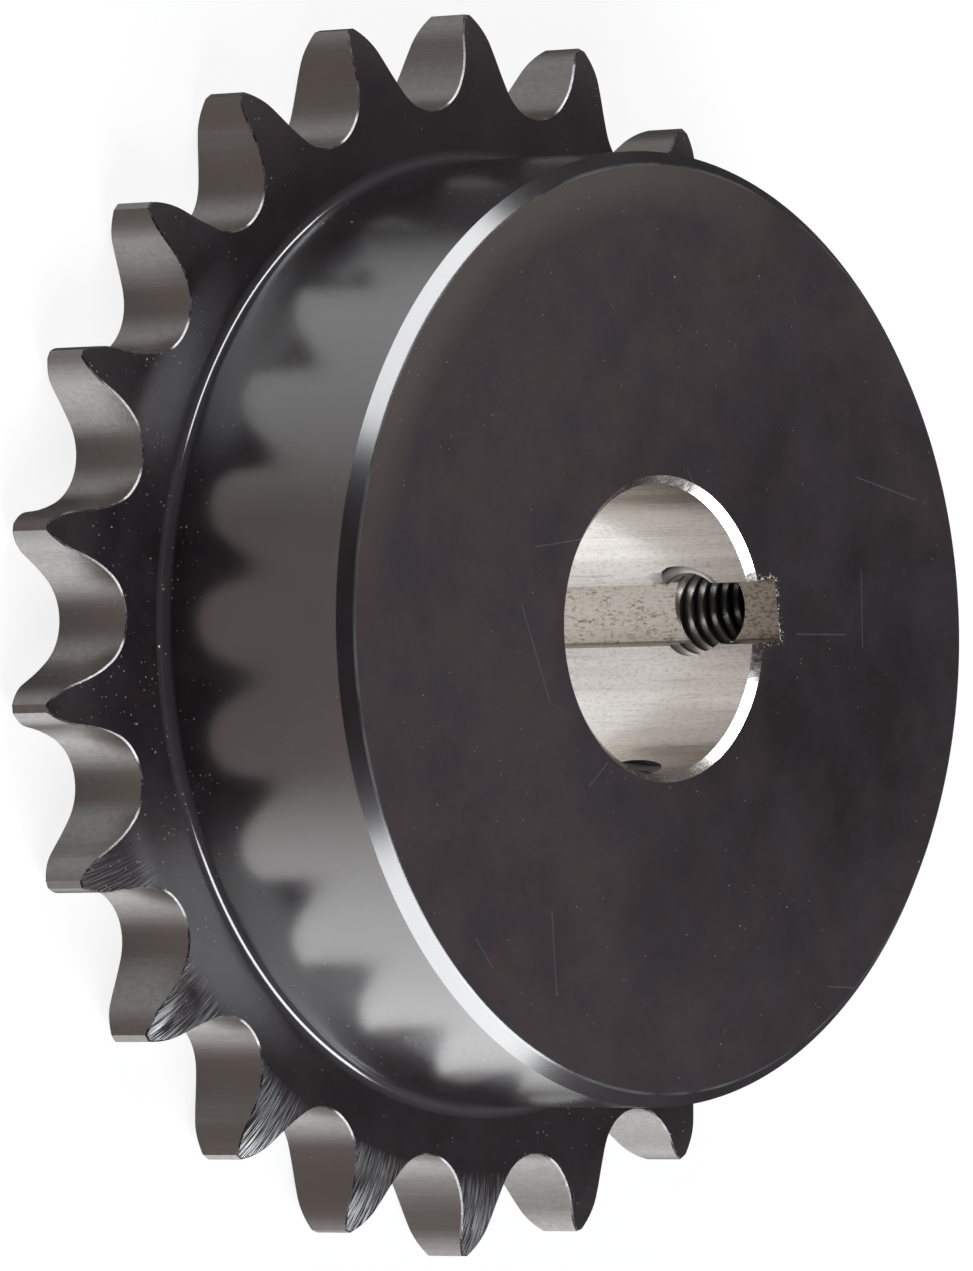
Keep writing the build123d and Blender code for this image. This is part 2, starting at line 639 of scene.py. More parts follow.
@dataclass(frozen=True)
class ThreadCutter:
    """A set screw's thread as a solid rod along +Z, which cuts a threaded hole.

    The depth, the half flat and the slope are shares of the pitch, for a 60 degree thread.
    """

    pitch: float
    radius: float
    length: float
    depth_share: float = 0.5413
    half_flat: float = 0.125
    slope: float = 0.3125
    around: int = 48
    across: int = 16
    edge: float = 0.001
    weld: float = 1e-6

    def group(self) -> bpy.types.NodeTree:
        """Builds the node group.

        Returns:
            A group that winds a strip one pitch wide into a rod, closes its ends and welds it.
        """
        group, tree, inputs = Nodes.group("thread_cutter", {
            "Pitch": ("NodeSocketFloat", self.pitch),
            "Radius": ("NodeSocketFloat", self.radius),
            "Turns": ("NodeSocketFloat", 1.0),
            "Steps": ("NodeSocketInt", self.around),
            "Weld": ("NodeSocketFloat", self.weld),
        })
        turns = inputs["Turns"]
        grid = tree.node("GeometryNodeMeshGrid", None, {
            "Size X": turns, "Size Y": 1.0, "Vertices X": inputs["Steps"], "Vertices Y": self.across + 1})
        x, y, _ = tree.split(tree.node("GeometryNodeInputPosition"))
        along = x + turns * 0.5
        across = y + 0.5
        depth = inputs["Pitch"] * self.depth_share
        ridge = ((across - 0.5).call("ABSOLUTE") - self.half_flat) / self.slope
        radius = inputs["Radius"] - depth * (1.0 - ridge.clamped())
        angle = along * (2 * pi)
        height = (along + across) * inputs["Pitch"]
        skin = tree.combine(radius * angle.call("COSINE"), radius * angle.call("SINE"), height)
        edge, rest = self.edge, 1 - self.edge
        first = ((along < rest) * (across < edge) + (along < edge) * (across < rest)).clamped()
        last = ((along > turns - rest) * (across > rest) + (along > turns - edge) * (across > edge)).clamped()
        end = tree.combine(0.0, 0.0, last * (turns + 1.0) * inputs["Pitch"])
        closed = (first + last).clamped()
        place = tree.node("ShaderNodeMix", {"data_type": "VECTOR"}, {0: closed, 4: skin, 5: end}, 1)
        wound = tree.node("GeometryNodeSetPosition", None, {"Geometry": grid, "Position": place})
        Nodes.end(tree, Nodes.weld(tree, wound, inputs["Weld"]))
        return group

    def mesh(self) -> bpy.types.Mesh:
        """Builds the rod.

        Returns:
            Its closed mesh, with the faces outwards.
        """
        turns = int(self.length / self.pitch) - 1
        holder = bpy.data.objects.new("thread_cutter", bpy.data.meshes.new("thread_cutter"))
        bpy.context.scene.collection.objects.link(holder)
        mesh = Nodes.run(holder, self.group(), {
            "Pitch": self.pitch, "Radius": self.radius, "Turns": float(turns),
            "Steps": turns * self.around + 1, "Weld": self.weld})
        bpy.data.objects.remove(holder)
        return mesh


@dataclass
class Sprocket:
    """The sprocket: a patterned sector with its keyway and threaded holes cut."""

    sizes: SprocketSizes = field(default_factory=SprocketSizes)
    sharp_angle: float = 28.0
    cut_past: float = 1.0 * MM
    countersink_sides: int = 64
    weld: float = 1e-6

    def build(self, material: bpy.types.Material) -> bpy.types.Object:
        """Builds the piece, which stands for the CAD node.

        Args:
            material: The finish of the whole piece.

        Returns:
            The finished object, which rides on the root body.
        """
        s = self.sizes
        sector = bpy.data.objects.new("sprocket_steel", Sector(s).mesh())
        bpy.context.scene.collection.objects.link(sector)
        cutters = self._thread_objects()
        mesh = Nodes.run(sector, self._group(material, cutters), {
            "Teeth": s.teeth, "Keyway Width": s.keyway_width, "Keyway Floor": s.keyway_floor,
            "Weld": self.weld})
        for cutter in cutters:
            bpy.data.objects.remove(cutter)
        bpy.data.objects.remove(sector)
        piece = bpy.data.objects.new("sprocket_steel", mesh)
        bpy.context.scene.collection.objects.link(piece)
        self._shade(mesh)
        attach(piece, "root")
        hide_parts("sprocket")
        return piece

    def _shade(self, mesh: bpy.types.Mesh) -> None:
        """Smooths the skin and keeps the edges that are sharp."""
        mesh.polygons.foreach_set("use_smooth", [True] * len(mesh.polygons))
        mesh.set_sharp_from_angle(angle=radians(self.sharp_angle))

    def _thread_objects(self) -> list[bpy.types.Object]:
        """Makes the tools that cut the threads.

        Returns:
            A thread cutter for each screw hole, in its place.
        """
        s = self.sizes
        start = s.bore_radius / 2
        length = s.hub_radius + 3 * s.thread_pitch - start
        mesh = ThreadCutter(s.thread_pitch, s.screw_radius, length).mesh()
        made = []
        for name in ("screw_hole_key", "screw_hole_side"):
            mount = s.mount(name)
            axis = Vector(mount["axis"])
            cutter = bpy.data.objects.new(name, mesh.copy())
            turn = axis.to_track_quat("Z", "Y").to_matrix().to_4x4()
            place = axis * (start + s.thread_phase * s.thread_pitch) + Vector((0, 0, mount["pos_m"][2]))
            cutter.data.transform(Matrix.Translation(place) @ turn)
            bpy.context.scene.collection.objects.link(cutter)
            made.append(cutter)
        return made

    def _group(self, material: bpy.types.Material, cutters: Sequence[bpy.types.Object]) -> bpy.types.NodeTree:
        """Builds the node group that patterns the sector and cuts it.

        Args:
            material: The finish of the whole piece.
            cutters: The thread cutters, named after their holes' mounts.

        Returns:
            A group that turns the sector round the axis and cuts the keyway and the holes.
        """
        s = self.sizes
        group, tree, inputs = Nodes.group("sprocket_pattern", {
            "Teeth": ("NodeSocketInt", s.teeth),
            "Keyway Width": ("NodeSocketFloat", s.keyway_width),
            "Keyway Floor": ("NodeSocketFloat", s.keyway_floor),
            "Weld": ("NodeSocketFloat", self.weld),
        })
        points = tree.node("GeometryNodePoints", None, {"Count": inputs["Teeth"]})
        index = tree.node("GeometryNodeInputIndex")
        turn = (index + 0.5) * (2 * pi) / inputs["Teeth"]
        rotation = tree.node("FunctionNodeEulerToRotation", None, {0: tree.combine(0.0, 0.0, turn)})
        copies = tree.node("GeometryNodeInstanceOnPoints", None, {
            "Points": points, "Instance": inputs["Geometry"], "Rotation": rotation})
        whole = tree.node("GeometryNodeRealizeInstances", None, {0: copies})
        welded = Nodes.weld(tree, whole, inputs["Weld"])
        tools = [self._keyway(tree, inputs)]
        for cutter in cutters:
            tools.append(tree.node("GeometryNodeObjectInfo", {"transform_space": "ORIGINAL"},
                                   {"Object": cutter}, "Geometry"))
            tools.append(self._countersink(tree, cutter.name))
        cut = tree.node("GeometryNodeMeshBoolean", {"operation": "DIFFERENCE", "solver": "MANIFOLD"},
                        {"Mesh 1": welded, "Mesh 2": tools})
        realized = tree.node("GeometryNodeRealizeInstances", None, {0: cut})
        dressed = tree.node("GeometryNodeSetMaterial", None, {"Geometry": realized, "Material": material})
        Nodes.end(tree, dressed)
        return group

    def _keyway(self, tree: Tree, inputs: dict[str, Socket]) -> Socket:
        """Makes the tool that cuts the keyway.

        Args:
            tree: The group's tree.
            inputs: The group's inputs, by name.

        Returns:
            A block through the whole bore.
        """
        s = self.sizes
        length = s.face_z - s.back_z + 2 * self.cut_past
        size = tree.combine(inputs["Keyway Floor"], inputs["Keyway Width"], length)
        block = tree.node("GeometryNodeMeshCube", None, {"Size": size})
        place = tree.combine(inputs["Keyway Floor"] * 0.5, 0.0, (s.face_z + s.back_z) / 2)
        return tree.node("GeometryNodeTransform", None, {"Geometry": block, "Translation": place})

    def _countersink(self, tree: Tree, hole: str) -> Socket:
        """Makes the tool that breaks the outer mouth of one screw hole.

        Args:
            tree: The group's tree.
            hole: The name of the hole's mount.

        Returns:
            A cone at the hub's side.
        """
        s = self.sizes
        mount = s.mount(hole)
        axis = Vector(mount["axis"])
        depth = s.screw_countersink + self.cut_past
        cone = tree.node("GeometryNodeMeshCone", None, {
            "Vertices": self.countersink_sides, "Radius Top": s.screw_radius + depth,
            "Radius Bottom": s.screw_radius, "Depth": depth})
        place = axis * (s.hub_radius - s.screw_countersink) + Vector((0, 0, mount["pos_m"][2]))
        turn = axis.to_track_quat("Z", "Y").to_euler()
        return tree.node("GeometryNodeTransform", None, {
            "Geometry": cone, "Translation": tuple(place), "Rotation": tuple(turn)})


@dataclass(frozen=True)
class Zones:
    """Masks of the sprocket's surfaces, from Object coordinates in millimetres."""

    tree: Tree
    place: Socket
    x: Socket
    y: Socket
    z: Socket
    aside: Socket
    radius: Socket
    bare: Socket
    thread: Socket
    side_hole: Socket
    keyway: Socket
    corner: Socket
    wall: Socket
    edge: Socket
    rounding: Socket
    fillet: Socket
    chamfer: Socket
    rim: Socket
    plate: Socket
    face: Socket
    crest_with_depth_shade: Socket

    @staticmethod
    def of(tree: Tree, sizes: SprocketSizes) -> "Zones":
        """Builds the masks.

        Args:
            tree: The material's tree.
            sizes: The sprocket's sizes, in metres.

        Returns:
            The coordinates and masks, each 1 on its surface and 0 elsewhere.
        """
        slack = 0.02
        corner_width = 0.14
        thread_below_face, thread_above_plate = 1.5, 1.0
        rounding_start = Fade(0.0, 1.5)
        crest_shallow, crest_deep = 0.10, 0.65
        # Painted shade: thread crests turn dark deeper in the hole.
        crest_shade_depth = Fade(12.0, 3.0)
        mm = sizes.mm
        x, y, z = (part / MM for part in tree.split(tree.node("ShaderNodeTexCoord", None, None, "Object")))
        aside = y.call("ABSOLUTE")
        radius = (x * x + y * y).call("SQRT")
        mouth = (z - (mm("face_z") - mm("bore_chamfer"))).call("MAXIMUM", 0.0)
        mouth = mouth + (mm("back_z") + mm("back_chamfer") - z).call("MAXIMUM", 0.0)
        bore = radius < mouth + (mm("bore_radius") + slack)
        half = mm("keyway_width") / 2
        floor = mm("keyway_floor")
        keyway = (aside < half + slack) * (x < floor + slack) * (x > 0.9 * mm("bore_radius"))
        corner = keyway * ((aside > half - corner_width) * (x > floor - corner_width))
        bare = (bore + keyway).clamped()
        inside = (z < mm("face_z") - thread_below_face) * (z > mm("front_z") + thread_above_plate)
        thread = (radius < mm("hub_radius") - slack) * inside * (1.0 - bare)
        side_hole = thread * (y < -mm("bore_radius") / 2)
        past = (radius - (mm("outside_radius") - mm("rounding_depth"))).call("MAXIMUM", 0.0)
        big = mm("side_rounding_radius")
        drop = big - (big * big - past * past).call("SQRT")
        below = mm("front_z") - drop - z.call("ABSOLUTE")
        root = mm("hub_radius") + mm("hub_root_radius")
        outer = radius > root
        wall = outer * (below > mm("edge_break"))
        edge = outer * (below > slack) * (below < mm("edge_break") + slack)
        rounding = outer * (below < slack) * rounding_start.over(past)
        low = (z > mm("front_z") - slack) * (z < mm("front_z") + mm("hub_root_radius"))
        fillet = low * (radius < root + slack) * (radius > mm("hub_radius") - slack)
        face_radius = mm("hub_radius") - mm("hub_edge_chamfer")
        face = z > mm("face_z") - slack
        chamfer = (z > mm("face_z") - mm("hub_edge_chamfer")) * (z < mm("face_z") - slack) * (
            radius > face_radius - slack)
        near_rim = (radius - face_radius).call("ABSOLUTE") < mm("edge_break")
        rim = near_rim * (z > mm("face_z") - mm("edge_break"))
        plate = (radius > mm("hub_radius") + slack) * (below < slack) * (z > 0.0)
        hole_z = z - sizes.mount("screw_hole_key")["pos_m"][2] / MM
        across = x.call("ABSOLUTE").call("MINIMUM", aside)
        out = (across * across + hole_z * hole_z).call("SQRT")
        raised = out.ramp(mm("screw_radius") - crest_shallow, mm("screw_radius") - crest_deep)
        # Painted shade: the crests' bare share fades out from 3 to 12 mm past the bore, so the hole is darker
        # deeper in.
        unshaded_by_depth = crest_shade_depth.over(radius - mm("bore_radius"))
        crest_with_depth_shade = thread * raised * unshaded_by_depth * (x > 0.5 * mm("bore_radius"))
        return Zones(tree, tree.combine(x, y, z), x, y, z, aside, radius, bare, thread, side_hole, keyway,
                     corner, wall, edge, rounding, fillet, chamfer, rim, plate, face, crest_with_depth_shade)

    def stretched(self, scales: Triple) -> Socket:
        """The place with each direction scaled by itself."""
        return self.tree.combine(self.x * scales[0], self.y * scales[1], self.z * scales[2])

    def from_point(self, x: float, y: float) -> Socket:
        """Distance in plan from a point."""
        away_x, away_y = self.x - x, self.y - y
        return (away_x * away_x + away_y * away_y).call("SQRT")


@dataclass(frozen=True)
class MottleAndSheen:
    """Cloudy differences in the oxide's colour, a band on part of the hub face's rim, and painted sheen: the
    hub face lighter away from the keyway and the plate lighter high up. Places are in mm, here and in the
    other marks.
    """

    clouds: Noise = Noise(0.11, 5.0, 0.68, Fade(0.36, 0.76, 0.75))
    # The face and plate fades are painted sheen: the hub face lighter away from a point near the keyway, and
    # the plate lighter high up.
    face_sheen_centre: Pair = (21.0, -7.0)
    face_sheen_fade: Fade = Fade(6.0, 38.0, 0.90)
    plate_sheen_fade: Fade = Fade(30.0, 42.0, 0.75)
    darkest: float = 0.17
    turned_cut: float = 0.8
    blue_clouds: Noise = Noise(0.17, 6.0, 0.7, Fade(0.44, 0.66, 0.50))
    band_radius: Fade = Fade(31.4, 34.3)
    band_y: Fade = Fade(6.0, 20.0)
    band_x: Fade = Fade(18.0, 0.0, 0.8)

    def mask(self, zones: Zones) -> Socket:
        """Finds where the oxide is lighter, from its clouds and from painted sheen.

        Args:
            zones: The surfaces.

        Returns:
            More in the clouds, and as painted sheen away from the keyway on the hub's face and high on the
            plate.
        """
        cloud = self.clouds.mask(zones.tree, zones.place)
        # Painted sheen: lighter across the hub face away from the keyway, and on the upper plate.
        face = self.face_sheen_fade.over(zones.from_point(*self.face_sheen_centre)) * zones.face
        upper_sheen = zones.plate * self.plate_sheen_fade.over(zones.y)
        mixed = (cloud + face + upper_sheen - self.darkest).clamped()
        return mixed * (1.0 - self.turned_cut * (zones.chamfer + zones.fillet).clamped())

    def bluish(self, zones: Zones) -> Socket:
        """Cloudy patches in which the oxide is bluer."""
        return self.blue_clouds.mask(zones.tree, zones.place)

    def rim_band(self, zones: Zones) -> Socket:
        """Brown band along part of the hub face's rim."""
        reach = self.band_radius.over(zones.radius) * self.band_y.over(zones.y) * self.band_x.over(zones.x)
        return reach * zones.face


@dataclass(frozen=True)
class StainAndShade:
    """Brown stains and small dark pits in the bare steel, and painted shade beside the keyway."""

    keyway_top: Fade = Fade(15.0, 18.0, 0.45)
    bore_top: Fade = Fade(12.0, 22.0, 0.20)
    # Painted shade: the bore darker close to the keyway's sides.
    shade_beside_keyway: Fade = Fade(5.0, 2.8, 0.26)
    band_scale: Triple = (0.35, 0.35, 0.025)
    bands: Noise = Noise(1.0, 2.0, 0.6, Fade(0.42, 0.62, 0.24))
    pit_scale: Triple = (1.0, 1.0, 0.45)
    pits: Noise = Noise(5.0, 3.0, 0.65, Fade(0.50, 0.68))
    patches: Noise = Noise(0.9, 2.0, 0.5, Fade(0.35, 0.65, 0.80))
    pits_everywhere: float = 0.24
    pits_in_keyway: float = 0.15

    def mask(self, zones: Zones) -> Socket:
        """Finds where the bare steel is stained and where it has painted shade.

        Args:
            zones: The surfaces.

        Returns:
            More towards the hub's face, in broad bands along the bore and in the pits, and as painted shade
            beside the keyway.
        """
        tree = zones.tree
        outside = 1.0 - zones.keyway
        high = zones.keyway * self.keyway_top.over(zones.z) + zones.bare * self.bore_top.over(zones.z)
        # Painted shade: the bore darker beside the keyway.
        shade_beside = self.shade_beside_keyway.over(zones.aside) * outside
        bands = self.bands.mask(tree, zones.stretched(self.band_scale)) * outside
        place = zones.stretched(self.pit_scale)
        more = zones.keyway * (self.pits_in_keyway + self.patches.mask(tree, place))
        pits = self.pits.mask(tree, place) * (self.pits_everywhere + more)
        return (high + zones.bare * (pits + bands + shade_beside)).clamped()


@dataclass(frozen=True)
class Wear:
    """Wear that bares the steel of edges, thread crests and the sides of the lower teeth. The crests' bare
    share fades out deeper in the hole, as painted shade.
    """

    patches: Noise = Noise(0.28, 1.0, 0.5)
    streaks: Noise = Noise(1.0, 2.0, 0.75, Fade(0.47, 0.66), Dimensions.TWO)
    streaks_in_radian: float = 480.0
    streaks_in_mm: float = 0.25
    tooth_patches: Fade = Fade(0.25, 0.60)
    tooth_y: Fade = Fade(-10.0, -30.0)
    tooth_x: Fade = Fade(6.0, -12.0, 1.3)
    tooth_tip: Fade = Fade(40.0, 46.0, 1.3)
    tooth_root: float = 0.25
    nicks: Noise = Noise(1.1, 3.0, 0.7, Fade(0.45, 0.75, 0.42))
    rim_patches: Fade = Fade(0.35, 0.75, 0.16)
    fillet_share: float = 0.03
    crest_share: float = 0.95

    def mask(self, zones: Zones) -> Socket:
        """Finds where the steel is worn.

        Args:
            zones: The surfaces.

        Returns:
            The share of bright steel.
        """
        tree = zones.tree
        patchy = self.patches.raw(tree, zones.place)
        angle = zones.y.call("ARCTAN2", zones.x)
        fan = tree.combine(angle * self.streaks_in_radian, zones.radius * self.streaks_in_mm, 0.0)
        streaks = self.streaks.mask(tree, fan) * self.tooth_patches.over(patchy)
        rubbed = self.tooth_y.over(zones.y) * self.tooth_x.over(zones.x)
        towards_tip = self.tooth_tip.over(zones.radius) + self.tooth_root
        nicked = zones.edge * self.nicks.mask(tree, zones.place)
        # The crests' share carries painted shade deeper in the hole.
        ridges = zones.fillet * self.fillet_share + zones.crest_with_depth_shade * self.crest_share
        rim = zones.rim * self.rim_patches.over(patchy)
        return (ridges + rim + nicked + zones.rounding * streaks * rubbed * towards_tip).clamped()


@dataclass(frozen=True)
class Dust:
    """Sparse pale specks, and crumbs at the keyway's mouth.

    Each layer of specks has its cells in a millimetre, with one speck in each at most, and its strength.
    The specks' radii are in mm.
    """

    layers: tuple[Pair, ...] = ((0.6, 1.0), (1.4, 0.55), (2.9, 0.24))
    crowds: Noise = Noise(0.055, 1.0, 0.5, Fade(0.42, 0.62))
    crowd_floor: float = 0.25
    plate_crowd: float = 0.30
    plate_side_z: float = 8.0
    clusters: Noise = Noise(0.30, 2.0, 0.6, Fade(0.42, 0.62))
    cluster_floor: float = 0.15
    cluster_x: Fade = Fade(-25.0, -42.0, 0.45)
    cluster_share: float = 0.40
    smallest: float = 0.02
    growth: float = 0.035
    crowd_growth: float = 0.045
    rarity: float = 0.94
    crowd_share: float = 0.30
    faintest: float = 0.25
    crumbs: Noise = Noise(5.5, 2.0, 0.6)
    crumb_corner: Pair = (13.5, 2.38)
    crumb_start: float = 11.4
    crumb_reach: Fade = Fade(0.75, 0.0)
    crumb_lift: float = 0.16
    crumb_rarity: float = 0.72
    wall_clean: float = 0.6
    strength: float = 0.85

    def mask(self, zones: Zones) -> Socket:
        """Finds where the dust lies.

        Args:
            zones: The surfaces.

        Returns:
            How much of the dust's colour shows.
        """
        tree = zones.tree
        by_plate = zones.z < self.plate_side_z
        cluster = self.clusters.mask(tree, zones.place) + self.cluster_floor
        low = by_plate * (self.cluster_x.over(zones.x) + self.cluster_share) * cluster
        crowd = self.crowds.mask(tree, zones.place) * (self.crowd_floor + by_plate * self.plate_crowd) + low
        specks = self._crumbs(zones)
        for scale, strength in self.layers:
            specks = specks + self._specks(zones, scale, crowd) * strength
        clean = (zones.bare + zones.thread + zones.chamfer + zones.wall * self.wall_clean).clamped()
        return specks.clamped() * (1.0 - clean) * self.strength

    def _crumbs(self, zones: Zones) -> Socket:
        """Finds the crumbs on the hub face, round the keyway's mouth.

        Args:
            zones: The surfaces.

        Returns:
            1 on a crumb, fading away from the mouth, else 0.
        """
        over_x = (zones.x - self.crumb_corner[0]).call("MAXIMUM", 0.0)
        over_y = (zones.aside - self.crumb_corner[1]).call("MAXIMUM", 0.0)
        away = (over_x * over_x + over_y * over_y).call("SQRT")
        near = self.crumb_reach.over(away) * (zones.x > self.crumb_start)
        return (self.crumbs.raw(zones.tree, zones.place) + near * self.crumb_lift > self.crumb_rarity) * near

    def _specks(self, zones: Zones, scale: float, crowd: Socket) -> Socket:
        """Finds one layer of specks.

        Args:
            zones: The surfaces.
            scale: Cells in a millimetre.
            crowd: More of the cells have a speck where this is high.

        Returns:
            The speck's strength, else 0.
        """
        tree = zones.tree
        cells = tree.node("ShaderNodeTexVoronoi", None, {"Vector": zones.place, "Scale": scale})
        tint, size, _ = tree.split(Socket(tree, cells.socket.node.outputs["Color"]))
        radius = self.smallest + (self.growth + self.crowd_growth * crowd) * size * size
        chosen = (cells < scale * radius) * (tint > self.rarity - self.crowd_share * crowd)
        return chosen * (self.faintest + (1 - self.faintest) * size * size)


@dataclass(frozen=True)
class Scratches:
    """Short straight scratches on the hub face, each in a direction of its own.

    The width and lengths are in cells, and each cell has one scratch at most.
    """

    cells_in_mm: float = 0.10
    shift: float = 3.1
    half_width: float = 0.005
    shortest: float = 0.1
    spread: float = 0.35
    rarity: float = 0.72
    strength: float = 0.07

    def mask(self, zones: Zones) -> Socket:
        """Finds the scratches.

        Args:
            zones: The surfaces.

        Returns:
            The share of bright steel on a scratch, else 0.
        """
        tree = zones.tree
        place = tree.combine(zones.x * self.cells_in_mm + self.shift, zones.y * self.cells_in_mm, 0.0)
        flat = {"voronoi_dimensions": Dimensions.TWO.value}
        cells = tree.node("ShaderNodeTexVoronoi", flat, {"Vector": place, "Scale": 1.0})
        outputs = cells.socket.node.outputs
        red, green, blue = tree.split(Socket(tree, outputs["Color"]))
        dx, dy, _ = tree.split(tree.vector("SUBTRACT", place, Socket(tree, outputs["Position"])))
        cosine, sine = (red * pi).call("COSINE"), (red * pi).call("SINE")
        across = (dx * sine - dy * cosine).call("ABSOLUTE")
        along = (dx * cosine + dy * sine).call("ABSOLUTE")
        marked = (across < self.half_width) * (along < self.shortest + blue * self.spread)
        return marked * (green > self.rarity) * self.strength * zones.face


@dataclass(frozen=True)
class ToolMarks:
    """Fine marks of the tools, along the axis on the flanks and in the bore, and turned elsewhere.

    Their depth is in metres.
    """

    along_scale: Triple = (2.6, 2.6, 0.10)
    lengthways: Noise = Noise(1.0, 3.0, 0.7)
    turned: Noise = Noise(7.0, 1.0, 0.6, dimensions=Dimensions.ONE)
    turned_height: float = 0.35
    along_height: float = 1.8
    wall_height: float = 1.6
    depth: float = 0.004 * MM

    def along(self, zones: Zones) -> Socket:
        """The marks along the axis, from the hob on the flanks and from the broach."""
        return self.lengthways.raw(zones.tree, zones.stretched(self.along_scale))

    def normal(self, zones: Zones, along: Socket) -> Socket:
        """Turns the marks' height into a surface normal.

        Args:
            zones: The surfaces.
            along: The marks along the axis.

        Returns:
            The normal.
        """
        tree = zones.tree
        turned = self.turned.raw(tree, zones.radius + zones.z) * self.turned_height
        along = along * (self.along_height + zones.wall * self.wall_height)
        height = tree.between((zones.wall + zones.bare).clamped(), turned, along)
        return tree.node("ShaderNodeBump", None, {"Strength": 1.0, "Distance": self.depth, "Height": height})


@dataclass(frozen=True)
class SteelFinish:
    """Black-oxide steel outside, bare steel in the bore, keyway and threads."""

    sizes: SprocketSizes
    mottle_and_sheen: MottleAndSheen = MottleAndSheen()
    stain_and_shade: StainAndShade = StainAndShade()
    wear: Wear = Wear()
    dust: Dust = Dust()
    scratches: Scratches = Scratches()
    tool_marks: ToolMarks = ToolMarks()
    oxide_dark: Colour = (0.0110, 0.0080, 0.0092, 1.0)
    # The lighter oxide, which is also the colour of the painted sheen on the hub face and plate.
    oxide_light_and_sheen: Colour = (0.0375, 0.0285, 0.0300, 1.0)
    oxide_blue: Colour = (0.0190, 0.0178, 0.0240, 1.0)
    rim_colour: Colour = (0.068, 0.058, 0.051, 1.0)
    flank_colour: Colour = (0.046, 0.034, 0.027, 1.0)
    # Painted shade: the side screw hole's thread made nearly black.
    hole_shade_colour: Colour = (0.004, 0.003, 0.003, 1.0)
    hole_shade_share: float = 0.8
    worn_colour: Colour = (0.52, 0.53, 0.55, 1.0)
    bare_colour: Colour = (0.80, 0.775, 0.75, 1.0)
    keyway_colour: Colour = (0.60, 0.56, 0.51, 1.0)
    # The stains' colour, which is also the colour of the painted shade beside the keyway.
    stain_and_shade_colour: Colour = (0.20, 0.16, 0.125, 1.0)
    dark_lines: Fade = Fade(0.42, 0.22, 0.35)
    corner_share: float = 0.5
    dust_colour: Colour = (0.62, 0.58, 0.52, 1.0)
    dust_roughness: float = 0.5
    grain: Noise = Noise(2.6, 4.0, 0.65)
    oxide_roughness: float = 0.20
    oxide_mottle_roughness: float = 0.06
    oxide_grain_roughness: float = 0.16
    plate_roughness: float = 0.22
    flank_roughness: float = 0.37
    flank_grain_roughness: float = 0.40
    chamfer_roughness: float = 0.21
    fillet_roughness: float = 0.13
    thread_roughness: float = 0.16
    bare_roughness: float = 0.24
    keyway_more_roughness: float = 0.12
    bare_line_roughness: float = 0.35
    worn_roughness: float = 0.50
    reflectance_ior: float = 1.74

    def material(self) -> bpy.types.Material:
        """Builds the material.

        Returns:
            The material of the whole piece.
        """
        made = bpy.data.materials.new("sprocket_steel")
        made.use_nodes = True
        made.node_tree.nodes.clear()
        tree = Tree(made.node_tree)
        zones = Zones.of(tree, self.sizes)
        worn, dust = self.wear.mask(zones), self.dust.mask(zones)
        # The oxide's clouds together with the painted sheen on the hub face and plate.
        mottle_and_sheen, along = self.mottle_and_sheen.mask(zones), self.tool_marks.along(zones)
        shine = (zones.bare + worn + self.scratches.mask(zones)).clamped()
        metal = tree.blend((zones.bare + zones.crest_with_depth_shade).clamped(), self.worn_colour, self._bare(zones, along))
        steel = tree.blend(shine, self._oxide(zones, mottle_and_sheen), metal)
        rough = self._roughness(zones, mottle_and_sheen, along, worn) + dust * self.dust_roughness
        shader = tree.node("ShaderNodeBsdfPrincipled", None, {
            "Base Color": tree.blend(dust, steel, self.dust_colour), "Roughness": rough,
            "Metallic": shine * (1.0 - dust), "IOR": self.reflectance_ior,
            "Normal": self.tool_marks.normal(zones, along)})
        tree.node("ShaderNodeOutputMaterial", None, {"Surface": shader})
        return made

    def _oxide(self, zones: Zones, mottle_and_sheen: Socket) -> Socket:
        """Mixes the colour of the black oxide.

        Args:
            zones: The surfaces.
            mottle_and_sheen: The oxide's cloudy differences, with the painted sheen on the hub face and the
                plate.

        Returns:
            The oxide's colour over the whole piece, with the painted sheen and the painted shade in the side
            hole.
        """
        colour: Any = self.oxide_dark
        for share, over in (
                (mottle_and_sheen, self.oxide_light_and_sheen), (self.mottle_and_sheen.bluish(zones), self.oxide_blue),
                (self.mottle_and_sheen.rim_band(zones), self.rim_colour), (zones.wall, self.flank_colour),
                # Painted shade: the side screw hole darkened nearly to black.
                (zones.side_hole * self.hole_shade_share, self.hole_shade_colour)):
            colour = zones.tree.blend(share, colour, over)
        return colour

    def _bare(self, zones: Zones, along: Socket) -> Socket:
        """Mixes the colour of the bare steel.

        Args:
            zones: The surfaces.
            along: The marks along the axis.

        Returns:
            The bare steel's colour, with its stains, the painted shade beside the keyway, and dark lines.
        """
        colour: Any = self.bare_colour
        for share, over in (
                (zones.keyway, self.keyway_colour), (self.stain_and_shade.mask(zones), self.stain_and_shade_colour),
                (self.dark_lines.over(along) + zones.corner * self.corner_share, self.oxide_light_and_sheen)):
            colour = zones.tree.blend(share, colour, over)
        return colour

